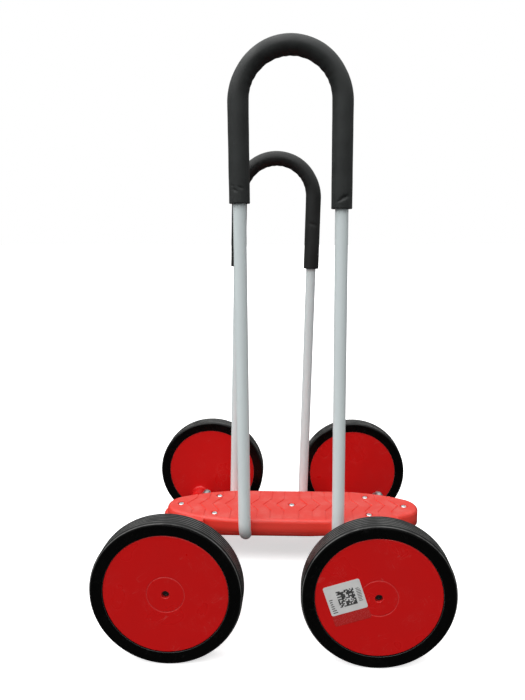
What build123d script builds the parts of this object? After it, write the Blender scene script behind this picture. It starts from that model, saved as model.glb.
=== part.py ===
"""Pedal walker: a four-wheeled balance toy that a child drives by stepping on two pedals in turn.

There is no chassis.  Each axle line is one cranked rod with a wheel on both ends, and the two
pedals ("steps") hang on the crank pins, half a turn apart.  Every step carries a tall hoop handle.
Frame: +X is the way it rolls, +Y the left side, +Z up.  The origin is on the floor, midway
between the wheels.  Millimetres.
"""

from build123d import *
import math
import os

os.makedirs("parts", exist_ok=True)

# ---- driving dimensions: running gear ----
wheel_radius = 95.0
wheel_width = 28.0
wheel_inner_y = 180.0  # inner side of a tyre, from the middle of the walker
half_wheelbase = 130.5
crank_throw = 51.0  # axle centre to pedal pin
crank_angle = 63.4  # right pins above the axle line at rest, in degrees
rod_radius = 6.0
rod_bend = 20.0
thread_radius = 4.0

# ---- driving dimensions: wheels ----
disc_radius = 78.0
disc_wall = 2.5
disc_recess = 1.5  # how far a disc lies inside the side of its tyre
bead_height = 6.0  # part of the tyre that is clamped between the discs
shoulder_radius = 2.6
ring_groove_radius = 23.4
hub_hole_radius = 5.0
hub_screw_radius = 2.0
lock_pin_radius = 2.0
boss_radius = 13.5
boss_foot_radius = 17.0
collar_radius = 16.0
collar_length = 18.0

# ---- driving dimensions: steps ----
step_half_length = 175.0
step_half_width = 47.5
step_straight = 65.0  # half the length of the parallel stretch
step_end_radius = 26.72207  # round ends, which the long tapers run into
step_middle_y = 83.5
step_top = 16.0  # tread above the pin
step_depth = 21.0
step_wall = 2.5
step_edge_radius = 5.0
base_rim = 2.5
groove_pitch = 18.0
groove_first = 10.6
groove_count = 8
groove_width = 1.5
groove_depth = 0.8
groove_reach = 11.0  # sideways reach of a chevron
groove_knee = 18.0  # half the length of the slanted stretch, across the step
screw_inboard = 25.5  # four-screw rows, inboard of the pins
screw_outboard = 25.6
screw_side = 27.0
recess_radius = 5.2
recess_depth = 2.2
screw_head_radius = 3.9
screw_radius = 1.9
post_radius = 7.4

# ---- driving dimensions: bearings ----
bush_wall = 3.0
bush_length = 14.5
flange_radius = 11.5
flange_thickness = 1.5
housing_half_width = 12.5
housing_wall = 4.0
outer_lug_y = 47.5  # faces of the bearing lugs, from the middle of the step
inner_lug_y = 41.0
outer_lug_top = 14.0
inner_lug_top = 11.0
lug_length = 22.0

# ---- driving dimensions: handles ----
tube_radius = 8.0
tube_wall = 1.5
leg_spacing = 122.4
handle_gap = 1.5  # between the side of a step and its handle's legs
handle_height = 605.0  # top of the hoop's centre line above the pin
elbow_radius = 24.0
foot_drop = 7.3  # foot's centre line below the pin
foot_length = 55.0
grip_radius = 12.75
grip_ends = {"right": (426.5, 419.5), "left": (426.5, 426.5)}
handle_lean = {"right": -0.1, "left": 1.75}  # degrees of slack in the hand-tightened clamps
clamp_width = 16.0
clamp_thickness = 3.0
clamp_ear = 13.0

# ---- driving dimensions: label ----
label_width = 46.0
label_height = 54.0
label_thickness = 0.2
label_offset = (-38.5, -6.2)
label_turn = 18.0

# ---- clearances ----
slip = 0.05  # running and push fits
gap = 0.3  # parts that only pass each other
play = 0.2  # end float along the crank pins

# ---- derived ----
throw_x = crank_throw * math.cos(math.radians(crank_angle))
throw_z = crank_throw * math.sin(math.radians(crank_angle))
step_bottom = step_top - step_depth
seam = step_bottom + base_rim
bush_radius = rod_radius + slip + bush_wall
housing_bottom = -(bush_radius + housing_wall)
leg_half = leg_spacing / 2
leg_y = -(step_half_width + handle_gap + tube_radius)
hoop_z = handle_height - leg_half
spacer_thickness = 1.2
boss_end = wheel_inner_y - (
    step_middle_y + outer_lug_y + flange_thickness + 2 * play + spacer_thickness
)
plate_in = disc_recess
plate_out = wheel_width - disc_recess
bead_radius = disc_radius - bead_height
screw_floor = plate_out - 2 * disc_wall
SIDES = ("right", "left")
ENDS = ("rear", "front")


def finish(piece, name):
    """Name a finished piece and write it out."""
    piece.part.label = name
    export_step(piece.part, f"parts/{name}.step")


# ---- placing ----
def step_frame(side):
    """Plane of a step's pins: origin mid-step, local x along the step, local -y outwards."""
    sign = 1 if side == "right" else -1
    origin = (sign * throw_x, -sign * step_middle_y, wheel_radius + sign * throw_z)
    return Plane(origin=origin, x_dir=(sign, 0, 0), z_dir=(0, 0, 1))


def across(frame, x, y, z=0.0):
    """Plane facing local +y through a local point, for bores and pins along the crank."""
    origin = frame.from_local_coords((x, y, z))
    return Plane(origin=origin, x_dir=frame.x_dir, z_dir=frame.y_dir)


def wheel_frame(end, side):
    """Plane of a wheel's inner side: local z points outwards, local y up."""
    sign = 1 if side == "right" else -1
    x = half_wheelbase if end == "front" else -half_wheelbase
    return Plane(
        origin=(x, -sign * wheel_inner_y, wheel_radius), x_dir=(sign, 0, 0), z_dir=(0, -sign, 0)
    )


def pin_place(side):
    """Crank pin in the wheel's own plane."""
    return (throw_x, throw_z) if side == "right" else (throw_x, -throw_z)


def section(frame):
    """Plane through a wheel's axis: local x is the radius, local y runs outwards."""
    return Plane(origin=frame.origin, x_dir=frame.x_dir, z_dir=-frame.y_dir)


def axis_of(frame):
    return Axis(frame.origin, frame.z_dir)


# ---- wheels ----
def tyre(end, side):
    """Solid tyre; its bead is clamped between the two discs."""
    frame = wheel_frame(end, side)
    lip = disc_radius + gap
    side_slope = 0.8
    with BuildPart() as piece:
        with BuildSketch(section(frame)):
            with BuildLine():
                Polyline(
                    (bead_radius, plate_in + disc_wall),
                    (lip, plate_in + disc_wall),
                    (lip, side_slope),
                    (wheel_radius - shoulder_radius, 0),
                    (wheel_radius, shoulder_radius),
                    (wheel_radius, wheel_width - shoulder_radius),
                    (wheel_radius - shoulder_radius, wheel_width),
                    (lip, wheel_width - side_slope),
                    (lip, plate_out - disc_wall),
                    (bead_radius, plate_out - disc_wall),
                    close=True,
                )
            make_face()
            outer = vertices().group_by(Axis.X)[-1] + vertices().group_by(Axis.X)[-2]
            fillet(outer, radius=shoulder_radius * 0.9)
        revolve(axis=axis_of(frame))
    finish(piece, f"{end}_{side}_tyre")


def outer_disc(end, side):
    """Outer wheel half: flat dish with a ring groove and a sunk hole for the hub screw."""
    frame = wheel_frame(end, side)
    groove = 0.5
    with BuildPart() as piece:
        with BuildSketch(section(frame)):
            with BuildLine():
                Polyline(
                    (hub_screw_radius + slip, screw_floor - disc_wall),
                    (hub_hole_radius + disc_wall, screw_floor - disc_wall),
                    (hub_hole_radius + disc_wall, plate_out - disc_wall),
                    (bead_radius - disc_wall - slip, plate_out - disc_wall),
                    (bead_radius - disc_wall - slip, wheel_width / 2),
                    (bead_radius - slip, wheel_width / 2),
                    (bead_radius - slip, plate_out - disc_wall + slip),
                    (disc_radius, plate_out - disc_wall + slip),
                    (disc_radius, plate_out),
                    (ring_groove_radius + groove, plate_out),
                    (ring_groove_radius, plate_out - groove),
                    (ring_groove_radius - groove, plate_out),
                    (hub_hole_radius, plate_out),
                    (hub_hole_radius, screw_floor),
                    (hub_screw_radius + slip, screw_floor),
                    close=True,
                )
            make_face()
            rim = vertices().group_by(Axis.X)[-1].sort_by(Axis.Y)[-1]
            fillet(rim, radius=disc_wall / 2)
        revolve(axis=axis_of(frame))
    finish(piece, f"{end}_{side}_outer_disc")


def inner_disc(end, side):
    """Inner wheel half, with the off-centre boss that makes the wheel a crank arm."""
    frame = wheel_frame(end, side)
    column_top = screw_floor - disc_wall
    thick = plate_in + disc_wall
    column_radius = hub_hole_radius + disc_wall
    pin = pin_place(side)
    with BuildPart() as piece:
        with BuildSketch(section(frame)):
            with BuildLine():
                Polyline(
                    (0, plate_in),
                    (disc_radius, plate_in),
                    (disc_radius, thick - slip),
                    (bead_radius - slip, thick - slip),
                    (bead_radius - slip, wheel_width / 2),
                    (bead_radius - disc_wall - slip, wheel_width / 2),
                    (bead_radius - disc_wall - slip, thick),
                    (column_radius, thick),
                    (column_radius, column_top),
                    (0, column_top),
                    close=True,
                )
            make_face()
        revolve(axis=axis_of(frame))
        with BuildSketch(frame.offset(thick)):
            with Locations(pin):
                Circle(boss_foot_radius)
        extrude(amount=thick)
        with BuildSketch(frame.offset(plate_in)):
            with Locations(pin):
                Circle(boss_radius)
        extrude(amount=-(plate_in + boss_end))
        foot = piece.edges().filter_by(GeomType.CIRCLE)
        foot = foot.filter_by(lambda edge: abs(edge.radius - boss_radius) < slip)
        fillet(foot.sort_by(axis_of(frame))[-1], radius=boss_foot_radius - boss_radius)
        with BuildSketch(frame.offset(-boss_end)):
            with Locations(pin):
                Circle(collar_radius)
        extrude(amount=collar_length)
        with BuildSketch(frame.offset(-boss_end)):
            with Locations(pin):
                Circle(rod_radius + slip)
        extrude(amount=boss_end + 2 * thick, mode=Mode.SUBTRACT)
        with BuildSketch(frame.offset(thick)):
            Circle(hub_screw_radius * 0.9)
        extrude(amount=column_top - thick, mode=Mode.SUBTRACT)
        add(lock_pin(end, side, lock_pin_radius), mode=Mode.SUBTRACT)
    finish(piece, f"{end}_{side}_inner_disc")


def lock_pin_plane(frame, side):
    """Plane facing across the boss, through the middle of the lock pin."""
    x, y = pin_place(side)
    origin = frame.from_local_coords((x, y, -boss_end / 4))
    return Plane(origin=origin, x_dir=frame.z_dir, z_dir=frame.x_dir)


def lock_pin(end, side, radius):
    """Round pin across a wheel's boss and its crank pin."""
    with BuildPart() as pin:
        with BuildSketch(lock_pin_plane(wheel_frame(end, side), side)):
            Circle(radius)
        extrude(amount=boss_radius - 0.5, both=True)
    return pin.part


def wheel_hardware(end):
    """What holds the two wheels of one axle line, each kind as one group."""
    frames = [(wheel_frame(end, side), side) for side in SIDES]
    seat = 2 * (plate_in + disc_wall)
    washer_thickness = 1.5
    with BuildPart() as washers:
        for frame, side in frames:
            with BuildSketch(frame.offset(seat)):
                with Locations(pin_place(side)):
                    Circle(thread_radius * 2)
                    Circle(thread_radius + slip, mode=Mode.SUBTRACT)
            extrude(amount=washer_thickness)
    finish(washers, f"{end}_crank_washers")
    with BuildPart() as nuts:
        for frame, side in frames:
            with BuildSketch(frame.offset(seat + washer_thickness)):
                with Locations(pin_place(side)):
                    RegularPolygon(thread_radius * 1.62, 6, major_radius=False)
                    Circle(thread_radius + slip, mode=Mode.SUBTRACT)
            extrude(amount=thread_radius * 1.6)
    finish(nuts, f"{end}_crank_nuts")
    with BuildPart() as pins:
        for side in SIDES:
            add(lock_pin(end, side, lock_pin_radius - slip / 2))
    finish(pins, f"{end}_lock_pins")
    with BuildPart() as screws:
        for frame, side in frames:
            with BuildSketch(frame.offset(screw_floor)):
                Circle(hub_screw_radius * 1.9)
            extrude(amount=hub_screw_radius)
            with BuildSketch(frame.offset(screw_floor)):
                Circle(hub_screw_radius * 0.9)
            extrude(amount=-(screw_floor - seat))
            with BuildSketch(frame.offset(screw_floor + hub_screw_radius)):
                Rectangle(hub_screw_radius * 2.2, 0.9)
                Rectangle(0.9, hub_screw_radius * 2.2)
            extrude(amount=-1.2, mode=Mode.SUBTRACT)
    finish(screws, f"{end}_hub_screws")


# ---- cranks ----
def crank_rod(end):
    """Bent steel rod: right wheel, right step, web, left step, left wheel."""
    x = half_wheelbase if end == "front" else -half_wheelbase
    shoulder = wheel_inner_y + 2 * (plate_in + disc_wall)
    right = (x + throw_x, wheel_radius + throw_z)
    left = (x - throw_x, wheel_radius - throw_z)
    thread = 10.0
    with BuildPart() as piece:
        with BuildLine() as path:
            FilletPolyline(
                (right[0], -shoulder, right[1]),
                (right[0], 0, right[1]),
                (left[0], 0, left[1]),
                (left[0], shoulder, left[1]),
                radius=rod_bend,
            )
        with BuildSketch(Plane(origin=path.line @ 0, z_dir=path.line % 0)):
            Circle(rod_radius)
        sweep(path=path.line)
        for place, side in ((right, -1), (left, 1)):
            with BuildSketch(
                Plane(origin=(place[0], side * shoulder, place[1]), z_dir=(0, side, 0))
            ):
                Circle(thread_radius)
            extrude(amount=thread)
        for side in SIDES:
            add(lock_pin(end, side, lock_pin_radius), mode=Mode.SUBTRACT)
    finish(piece, f"{end}_crank_rod")


def crank_rings(end):
    """Spacer washers outside the steps and retaining rings inside them."""
    x = half_wheelbase if end == "front" else -half_wheelbase
    stand_off = flange_thickness + play
    kinds = {
        "spacer_washers": (-(outer_lug_y + stand_off + spacer_thickness), rod_radius * 1.6),
        "retaining_rings": (inner_lug_y + stand_off, rod_radius * 1.5),
    }
    for kind, (y, radius) in kinds.items():
        with BuildPart() as rings:
            for side in SIDES:
                local_x = x if side == "right" else -x
                with BuildSketch(across(step_frame(side), local_x, y)):
                    Circle(radius)
                    Circle(rod_radius + slip, mode=Mode.SUBTRACT)
                extrude(amount=spacer_thickness)
        finish(rings, f"{end}_{kind}")


# ---- steps ----
def step_outline(inset=0.0):
    """Plan of a step: parallel middle, long tapering arcs and round ends."""
    centre_x = step_half_length - step_end_radius
    narrowing = step_half_width - step_end_radius
    reach = centre_x - step_straight
    spread = reach**2 + step_half_width**2 - step_end_radius**2
    taper_radius = spread / (2 * narrowing)
    hollow = taper_radius - step_half_width
    share = taper_radius / (taper_radius - step_end_radius)
    knee = (
        step_straight + share * (centre_x - step_straight),
        share * hollow - hollow,
    )
    with BuildSketch() as plan:
        with BuildLine():
            Line((0, step_half_width), (step_straight, step_half_width))
            taper = TangentArc((step_straight, step_half_width), knee, tangent=(1, 0))
            TangentArc(knee, (step_half_length, 0), tangent=taper % 1)
            mirror(about=Plane.XZ)
            mirror(about=Plane.YZ)
        make_face()
        if inset:
            offset(amount=-inset, mode=Mode.REPLACE)
    return plan.sketch


def screw_places():
    """Screws that hold the cover to the base: one mid-step, three around each pin."""
    near = half_wheelbase - screw_inboard
    far = half_wheelbase + screw_outboard
    pairs = [(sx * near, sy * screw_side) for sx in (1, -1) for sy in (1, -1)]
    return [(0, 0), (far, 0), (-far, 0)] + pairs


def handle_frame(side):
    return step_frame(side).rotated((0, handle_lean[side], 0))


def leg_points(x):
    """One leg of a handle: end of the foot, start, middle and end of the elbow."""
    knee = elbow_radius - foot_drop
    bow = elbow_radius * (1 - math.sqrt(0.5))
    return (
        (x, leg_y + elbow_radius + foot_length, -foot_drop),
        (x, leg_y + elbow_radius, -foot_drop),
        (x, leg_y + bow, bow - foot_drop),
        (x, leg_y, knee),
    )


def swept(path, radius):
    """Round bar along a path, one length for each straight or arc."""
    with BuildPart() as bar:
        for length in path.edges():
            with BuildSketch(Plane(origin=length @ 0, z_dir=length % 0)) as circle:
                Circle(radius)
            sweep(circle.sketch, path=length)
    return bar.part


def leg_seats(side):
    """Room that both legs of the handle need in the step."""
    with BuildPart() as seats:
        for x in (-leg_half, leg_half):
            end, foot, bow, knee = leg_points(x)
            past_plug = (x, end[1] + 2 * tube_wall, end[2])
            with BuildLine(handle_frame(side)) as path:
                Line(past_plug, foot)
                ThreePointArc(foot, bow, knee)
                Line(knee, (x, leg_y, knee[2] + elbow_radius))
            add(swept(path.line, tube_radius + slip))
    return seats.part


def bearing_places():
    """Each bush: local x of its pin, y of its lug's face, and which way the face looks."""
    pins = (-half_wheelbase, half_wheelbase)
    return [(x, y, math.copysign(1, y)) for x in pins for y in (-outer_lug_y, inner_lug_y)]


def lug(x, face):
    """Plan of a bearing lug that ends at its face."""
    with BuildSketch() as plan:
        with Locations((x, face - math.copysign(lug_length / 2, face))):
            Rectangle(2 * housing_half_width, lug_length)
    return plan.sketch


def chevrons():
    """Tread pattern: straight at both edges, pointing away from the middle of the step."""
    with BuildSketch() as pattern:
        for sign in (-1, 1):
            for index in range(groove_count):
                x = sign * (groove_first + index * groove_pitch)
                with BuildLine() as groove:
                    Polyline(
                        (x, step_half_width),
                        (x, groove_knee),
                        (x + sign * groove_reach, 0),
                        (x, -groove_knee),
                        (x, -step_half_width),
                    )
                trace(groove.line, line_width=groove_width)
        add(step_outline(step_edge_radius), mode=Mode.INTERSECT)
    return pattern.sketch


def tread_cover(side):
    """Moulded upper shell that the foot stands on."""
    frame = step_frame(side)
    with BuildPart() as piece:
        with BuildSketch(frame.offset(seam + gap)):
            add(step_outline())
        extrude(amount=step_top - seam - gap)
        fillet(piece.faces().sort_by(Axis.Z)[-1].edges(), radius=step_edge_radius)
        for x, face, s in bearing_places():
            with BuildSketch(frame.offset(seam + gap)):
                add(lug(x, face))
            top = outer_lug_top if s < 0 else inner_lug_top
            extrude(amount=top - seam - gap)
        with BuildSketch(frame.offset(seam + gap)):
            add(step_outline(step_wall))
        extrude(amount=step_top - step_wall - seam - gap, mode=Mode.SUBTRACT)
        with BuildSketch(frame.offset(step_top - step_wall)):
            with Locations(*screw_places()):
                Circle(post_radius)
        extrude(amount=-step_wall * 3)
        with BuildSketch(frame.offset(step_top)):
            add(chevrons())
        extrude(amount=-groove_depth, mode=Mode.SUBTRACT)
        with BuildSketch(frame.offset(step_top)):
            with Locations(*screw_places()):
                Circle(recess_radius)
        extrude(amount=-recess_depth, mode=Mode.SUBTRACT)
        with BuildSketch(frame.offset(step_top)):
            with Locations(*screw_places()):
                Circle(screw_radius + slip)
        extrude(amount=-step_depth, mode=Mode.SUBTRACT)
        for x in (-half_wheelbase, half_wheelbase):
            with BuildSketch(across(frame, x, 0)):
                Circle(bush_radius + slip)
                with Locations((0, step_depth / 2)):
                    Rectangle(2 * (bush_radius + slip), step_depth)
            extrude(amount=2 * step_half_width, both=True, mode=Mode.SUBTRACT)
        add(leg_seats(side), mode=Mode.SUBTRACT)
    finish(piece, f"{side}_tread_cover")


def step_base(side):
    """Moulded lower shell: rim, bearing housings, screw posts and troughs for the handle."""
    frame = step_frame(side)
    inside = step_half_width - step_wall - 2 * gap
    post_top = step_top - 4 * step_wall
    trough = tube_radius + slip + step_wall
    trough_end = leg_y + elbow_radius + foot_length - step_wall
    with BuildPart() as piece:
        with BuildSketch(frame.offset(step_bottom)):
            add(step_outline())
            for x, face, _ in bearing_places():
                add(lug(x, face))
        extrude(amount=base_rim)
        with BuildSketch(frame.offset(seam)):
            add(step_outline(step_wall + gap))
            add(step_outline(2 * step_wall), mode=Mode.SUBTRACT)
        extrude(amount=step_wall * 2)
        with BuildSketch(frame.offset(seam)):
            with Locations(*screw_places()):
                Circle(post_radius * 0.75)
        extrude(amount=post_top - seam - gap)
        for x, face, _ in bearing_places():
            with BuildSketch(frame.offset(housing_bottom)):
                add(lug(x, face))
            extrude(amount=seam - housing_bottom)
            with BuildSketch(frame.offset(seam)):
                add(lug(x, face))
                add(step_outline(step_wall + 2 * gap), mode=Mode.INTERSECT)
            extrude(amount=bush_radius + step_wall * 0.8 - seam)
        for x in (-leg_half, leg_half):
            with BuildSketch(frame.offset(seam)):
                with Locations((x, (trough_end - inside) / 2)):
                    Rectangle(2 * trough, trough_end + inside)
            extrude(amount=tube_radius - foot_drop + step_wall - seam)
        for x in (-half_wheelbase, half_wheelbase):
            with BuildSketch(across(frame, x, 0)):
                Circle(bush_radius + slip)
            extrude(amount=2 * step_half_width, both=True, mode=Mode.SUBTRACT)
        with BuildSketch(frame.offset(step_bottom)):
            with Locations(*screw_places()):
                Circle(screw_radius - slip)
        extrude(amount=step_depth, mode=Mode.SUBTRACT)
        add(leg_seats(side), mode=Mode.SUBTRACT)
        with BuildSketch(frame.offset(step_bottom)):
            with Locations(*clamp_screw_places()):
                Circle(screw_radius - slip)
        extrude(amount=base_rim + step_wall, mode=Mode.SUBTRACT)
    finish(piece, f"{side}_step_base")


def bushes(side):
    """Flanged plain bearings, one in each wall of the step on each pin."""
    frame = step_frame(side)
    with BuildPart() as piece:
        for x, face, s in bearing_places():
            with BuildSketch(across(frame, x, face)):
                Circle(bush_radius)
                Circle(rod_radius + slip, mode=Mode.SUBTRACT)
            extrude(amount=-s * bush_length)
            with BuildSketch(across(frame, x, face)):
                Circle(flange_radius)
                Circle(rod_radius + slip, mode=Mode.SUBTRACT)
            extrude(amount=s * flange_thickness)
    finish(piece, f"{side}_bushes")


def cross_head_screws(frame, places, length):
    """Screws whose heads stand on the frame plane."""
    slot = 0.9
    with BuildPart() as screws:
        with BuildSketch(frame):
            with Locations(*places):
                Circle(screw_head_radius)
        extrude(amount=recess_depth)
        crowns = screws.edges().group_by(Axis(frame.origin, frame.z_dir))[-1]
        fillet(crowns, radius=recess_depth * 0.6)
        with BuildSketch(frame):
            with Locations(*places):
                Circle(screw_radius - 2 * slip)
        extrude(amount=-length)
        with BuildSketch(frame.offset(recess_depth)):
            with Locations(*places):
                Rectangle(screw_head_radius * 1.2, slot)
                Rectangle(slot, screw_head_radius * 1.2)
        extrude(amount=-recess_depth * 0.6, mode=Mode.SUBTRACT)
    return screws


def step_screws(side):
    seat = step_top - recess_depth
    piece = cross_head_screws(step_frame(side).offset(seat), screw_places(), seat - seam)
    finish(piece, f"{side}_step_screws")


# ---- handles ----
def handle_tube(side):
    """Steel hoop: foot, elbow, leg, half circle, leg, elbow, foot."""
    end, foot, bow, knee = leg_points(-leg_half)
    far_end, far_foot, far_bow, far_knee = leg_points(leg_half)
    hoop = ((-leg_half, leg_y, hoop_z), (0, leg_y, handle_height), (leg_half, leg_y, hoop_z))
    with BuildLine(handle_frame(side)) as path:
        Line(end, foot)
        ThreePointArc(foot, bow, knee)
        Line(knee, hoop[0])
        ThreePointArc(*hoop)
        Line(hoop[2], far_knee)
        ThreePointArc(far_knee, far_bow, far_foot)
        Line(far_foot, far_end)
    with BuildPart() as piece:
        add(swept(path.line, tube_radius))
        add(swept(path.line, tube_radius - tube_wall), mode=Mode.SUBTRACT)
    finish(piece, f"{side}_handle_tube")


def grip(side):
    """Foam sleeve pushed over the hoop."""
    first, second = grip_ends[side]
    with BuildLine(handle_frame(side)) as path:
        Line((-leg_half, leg_y, first), (-leg_half, leg_y, hoop_z))
        ThreePointArc(
            (-leg_half, leg_y, hoop_z), (0, leg_y, handle_height), (leg_half, leg_y, hoop_z)
        )
        Line((leg_half, leg_y, hoop_z), (leg_half, leg_y, second))
    with BuildPart() as piece:
        add(swept(path.line, grip_radius))
        add(swept(path.line, tube_radius + slip), mode=Mode.SUBTRACT)
    finish(piece, f"{side}_grip")


def tube_plugs(side):
    """Press-in end plugs of the handle tube."""
    frame = handle_frame(side)
    end_y = leg_y + elbow_radius + foot_length
    with BuildPart() as piece:
        for x in (-leg_half, leg_half):
            with BuildSketch(across(frame, x, end_y, -foot_drop)):
                Circle(tube_radius)
            extrude(amount=tube_wall)
            with BuildSketch(across(frame, x, end_y, -foot_drop)):
                Circle(tube_radius - tube_wall - slip)
            extrude(amount=-tube_radius)
    finish(piece, f"{side}_tube_plugs")


def clamp_middle():
    """Local y of the saddle clamps, midway along the feet."""
    return leg_y + elbow_radius + foot_length / 2


def clamp_screw_places():
    reach = tube_radius + clamp_thickness + clamp_ear / 2
    return [(s * leg_half + e * reach, clamp_middle()) for s in (-1, 1) for e in (-1, 1)]


def tube_clamps(side):
    """Pressed saddles that hold the feet of the handle up into their troughs."""
    frame = step_frame(side)
    half = tube_radius + clamp_thickness + clamp_ear
    saddle = tube_radius + slip
    ear_top = step_bottom - slip
    with BuildPart() as piece:
        for x in (-leg_half, leg_half):
            middle = handle_frame(side).from_local_coords((x, clamp_middle(), -foot_drop))
            foot = frame.to_local_coords(middle)
            with BuildSketch(across(frame, foot.X, foot.Y)):
                with Locations((0, -foot.Z)):
                    Circle(saddle + clamp_thickness)
                with Locations((x - foot.X, clamp_thickness / 2 - ear_top)):
                    Rectangle(2 * half, clamp_thickness)
                with Locations((0, -ear_top - step_depth)):
                    Rectangle(3 * half, 2 * step_depth, mode=Mode.SUBTRACT)
                with Locations((0, -foot.Z)):
                    Circle(saddle, mode=Mode.SUBTRACT)
            extrude(amount=clamp_width / 2, both=True)
        with BuildSketch(frame.offset(ear_top)):
            with Locations(*clamp_screw_places()):
                Circle(screw_radius + slip)
        extrude(amount=-clamp_thickness * 2, mode=Mode.SUBTRACT)
    finish(piece, f"{side}_tube_clamps")


def clamp_screws(side):
    frame = step_frame(side)
    low = step_bottom - slip - clamp_thickness
    seat = Plane(origin=frame.offset(low).origin, x_dir=frame.x_dir, z_dir=-frame.z_dir)
    places = [(x, -y) for x, y in clamp_screw_places()]
    piece = cross_head_screws(seat, places, clamp_thickness + base_rim)
    finish(piece, f"{side}_clamp_screws")


# ---- label ----
def wheel_label():
    """Paper and film sticker on the front right wheel."""
    frame = wheel_frame("front", "right")
    with BuildPart() as piece:
        with BuildSketch(frame.offset(plate_out)):
            with Locations(Location(label_offset, label_turn)):
                RectangleRounded(label_width, label_height, 3)
        extrude(amount=label_thickness)
    finish(piece, "wheel_label")


for end in ENDS:
    crank_rod(end)
    crank_rings(end)
    wheel_hardware(end)
    for side in SIDES:
        tyre(end, side)
        outer_disc(end, side)
        inner_disc(end, side)

for side in SIDES:
    tread_cover(side)
    step_base(side)
    bushes(side)
    step_screws(side)
    handle_tube(side)
    grip(side)
    tube_plugs(side)
    tube_clamps(side)
    clamp_screws(side)

wheel_label()
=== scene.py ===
"""Looks of the pedal walker: finishes for its moulded, steel and rubber parts, the foam sleeves on
its handles, the sticker on one wheel, and the studio that it stands in.

Laid out as an add-on: each piece, or group of like pieces, has one operator, and a panel in the
3D view's sidebar lists them.  Lengths are in metres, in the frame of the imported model.
"""

import math
import random

import bmesh
import bpy
from bpy.props import FloatProperty, FloatVectorProperty, IntProperty, PointerProperty
from mathutils import Matrix, Vector, noise


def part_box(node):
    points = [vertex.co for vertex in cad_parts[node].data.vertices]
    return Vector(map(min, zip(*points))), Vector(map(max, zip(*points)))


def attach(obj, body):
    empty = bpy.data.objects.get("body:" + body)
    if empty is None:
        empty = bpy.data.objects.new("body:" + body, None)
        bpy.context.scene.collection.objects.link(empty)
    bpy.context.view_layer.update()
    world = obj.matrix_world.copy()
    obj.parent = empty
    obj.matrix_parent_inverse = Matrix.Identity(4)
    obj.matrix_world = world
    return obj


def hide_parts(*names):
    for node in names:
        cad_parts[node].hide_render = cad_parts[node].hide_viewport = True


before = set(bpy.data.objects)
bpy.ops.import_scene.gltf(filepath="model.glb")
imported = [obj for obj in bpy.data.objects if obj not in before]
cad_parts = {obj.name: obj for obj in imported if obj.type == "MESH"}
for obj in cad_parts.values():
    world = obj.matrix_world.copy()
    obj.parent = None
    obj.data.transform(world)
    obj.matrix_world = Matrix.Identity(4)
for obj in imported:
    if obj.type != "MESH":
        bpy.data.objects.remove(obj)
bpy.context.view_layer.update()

bl_info = {
    "name": "Pedal Walker Looks",
    "version": (1, 0, 0),
    "blender": (4, 5, 0),
    "location": "3D View > Sidebar > Pedal Walker",
    "description": "Finishes, foam grips, sticker and studio for a child's pedal walker",
    "category": "Object",
}

ENDS = ("rear", "front")
SIDES = ("right", "left")


TYRE_LOW, TYRE_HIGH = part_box("front_right_tyre")
WHEEL = (TYRE_LOW + TYRE_HIGH) / 2
WHEEL_RADIUS = (TYRE_HIGH.z - TYRE_LOW.z) / 2
WEAR_STARTS, WEAR_FULL = 0.0030, 0.0008  # how far in from the rolling face
STEP_FLOORS = [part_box(f"{side}_step_base")[0].z for side in SIDES]
RIM_HEIGHT = 0.008  # lower rim of a step above the lowest point of its bearing lugs
RIM_SHADE_HEIGHT = 0.012  # how far up from the rim the painted shade reaches


# ---- what a user may change ----
class WalkerFinish(bpy.types.PropertyGroup):
    """Colours of the walker's materials."""

    wheel_red: FloatVectorProperty(
        name="Wheel red", description="Moulded plastic of the wheel discs",
        subtype="COLOR", size=3, min=0, max=1, default=(0.66, 0.0085, 0.0085),
    )
    step_red: FloatVectorProperty(
        name="Step red", description="Moulded plastic of the steps",
        subtype="COLOR", size=3, min=0, max=1, default=(0.72, 0.034, 0.020),
    )
    tyre_black: FloatVectorProperty(
        name="Tyre black", description="Side of the solid tyres",
        subtype="COLOR", size=3, min=0, max=1, default=(0.0010, 0.0011, 0.0010),
    )
    tread_grey: FloatVectorProperty(
        name="Tread grey", description="Rolling face of the tyres, dulled by use",
        subtype="COLOR", size=3, min=0, max=1, default=(0.006, 0.0065, 0.006),
    )
    tube_grey: FloatVectorProperty(
        name="Tube grey", description="Powder coat on the handle tubes",
        subtype="COLOR", size=3, min=0, max=1, default=(0.78, 0.86, 0.865),
    )
    foam_charcoal: FloatVectorProperty(
        name="Foam charcoal", description="Closed-cell foam of the grips",
        subtype="COLOR", size=3, min=0, max=1, default=(0.017, 0.0195, 0.019),
    )


class WalkerShapes(bpy.types.PropertyGroup):
    """Sizes of the pieces that are modelled here."""

    tube_radius: FloatProperty(
        name="Bore radius", description="Radius of the foam's bore, just clear of the tube",
        default=0.00805, min=0.004, max=0.02, subtype="DISTANCE", unit="LENGTH",
    )
    foam_ripple: FloatProperty(
        name="Foam ripple", description="Depth of the folds on the inside of the bend",
        default=0.00022, min=0, max=0.002, subtype="DISTANCE", unit="LENGTH",
    )
    foam_thinning: FloatProperty(
        name="Foam thinning", description="How much the foam thins on the outside of the bend",
        default=0.0012, min=0, max=0.004, subtype="DISTANCE", unit="LENGTH",
    )
    foam_dent: FloatProperty(
        name="Foam dent", description="Depth of the thumb dents near the grip ends",
        default=0.0022, min=0, max=0.004, subtype="DISTANCE", unit="LENGTH",
    )
    tread_lines: IntProperty(
        name="Tread lines", description="Fine lines round a tyre, counted across its width",
        default=7, min=1, max=40,
    )
    label_turn: FloatProperty(
        name="Label turn", description="How far the sticker is turned on the wheel",
        default=math.radians(18), subtype="ANGLE", unit="ROTATION",
    )


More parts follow.
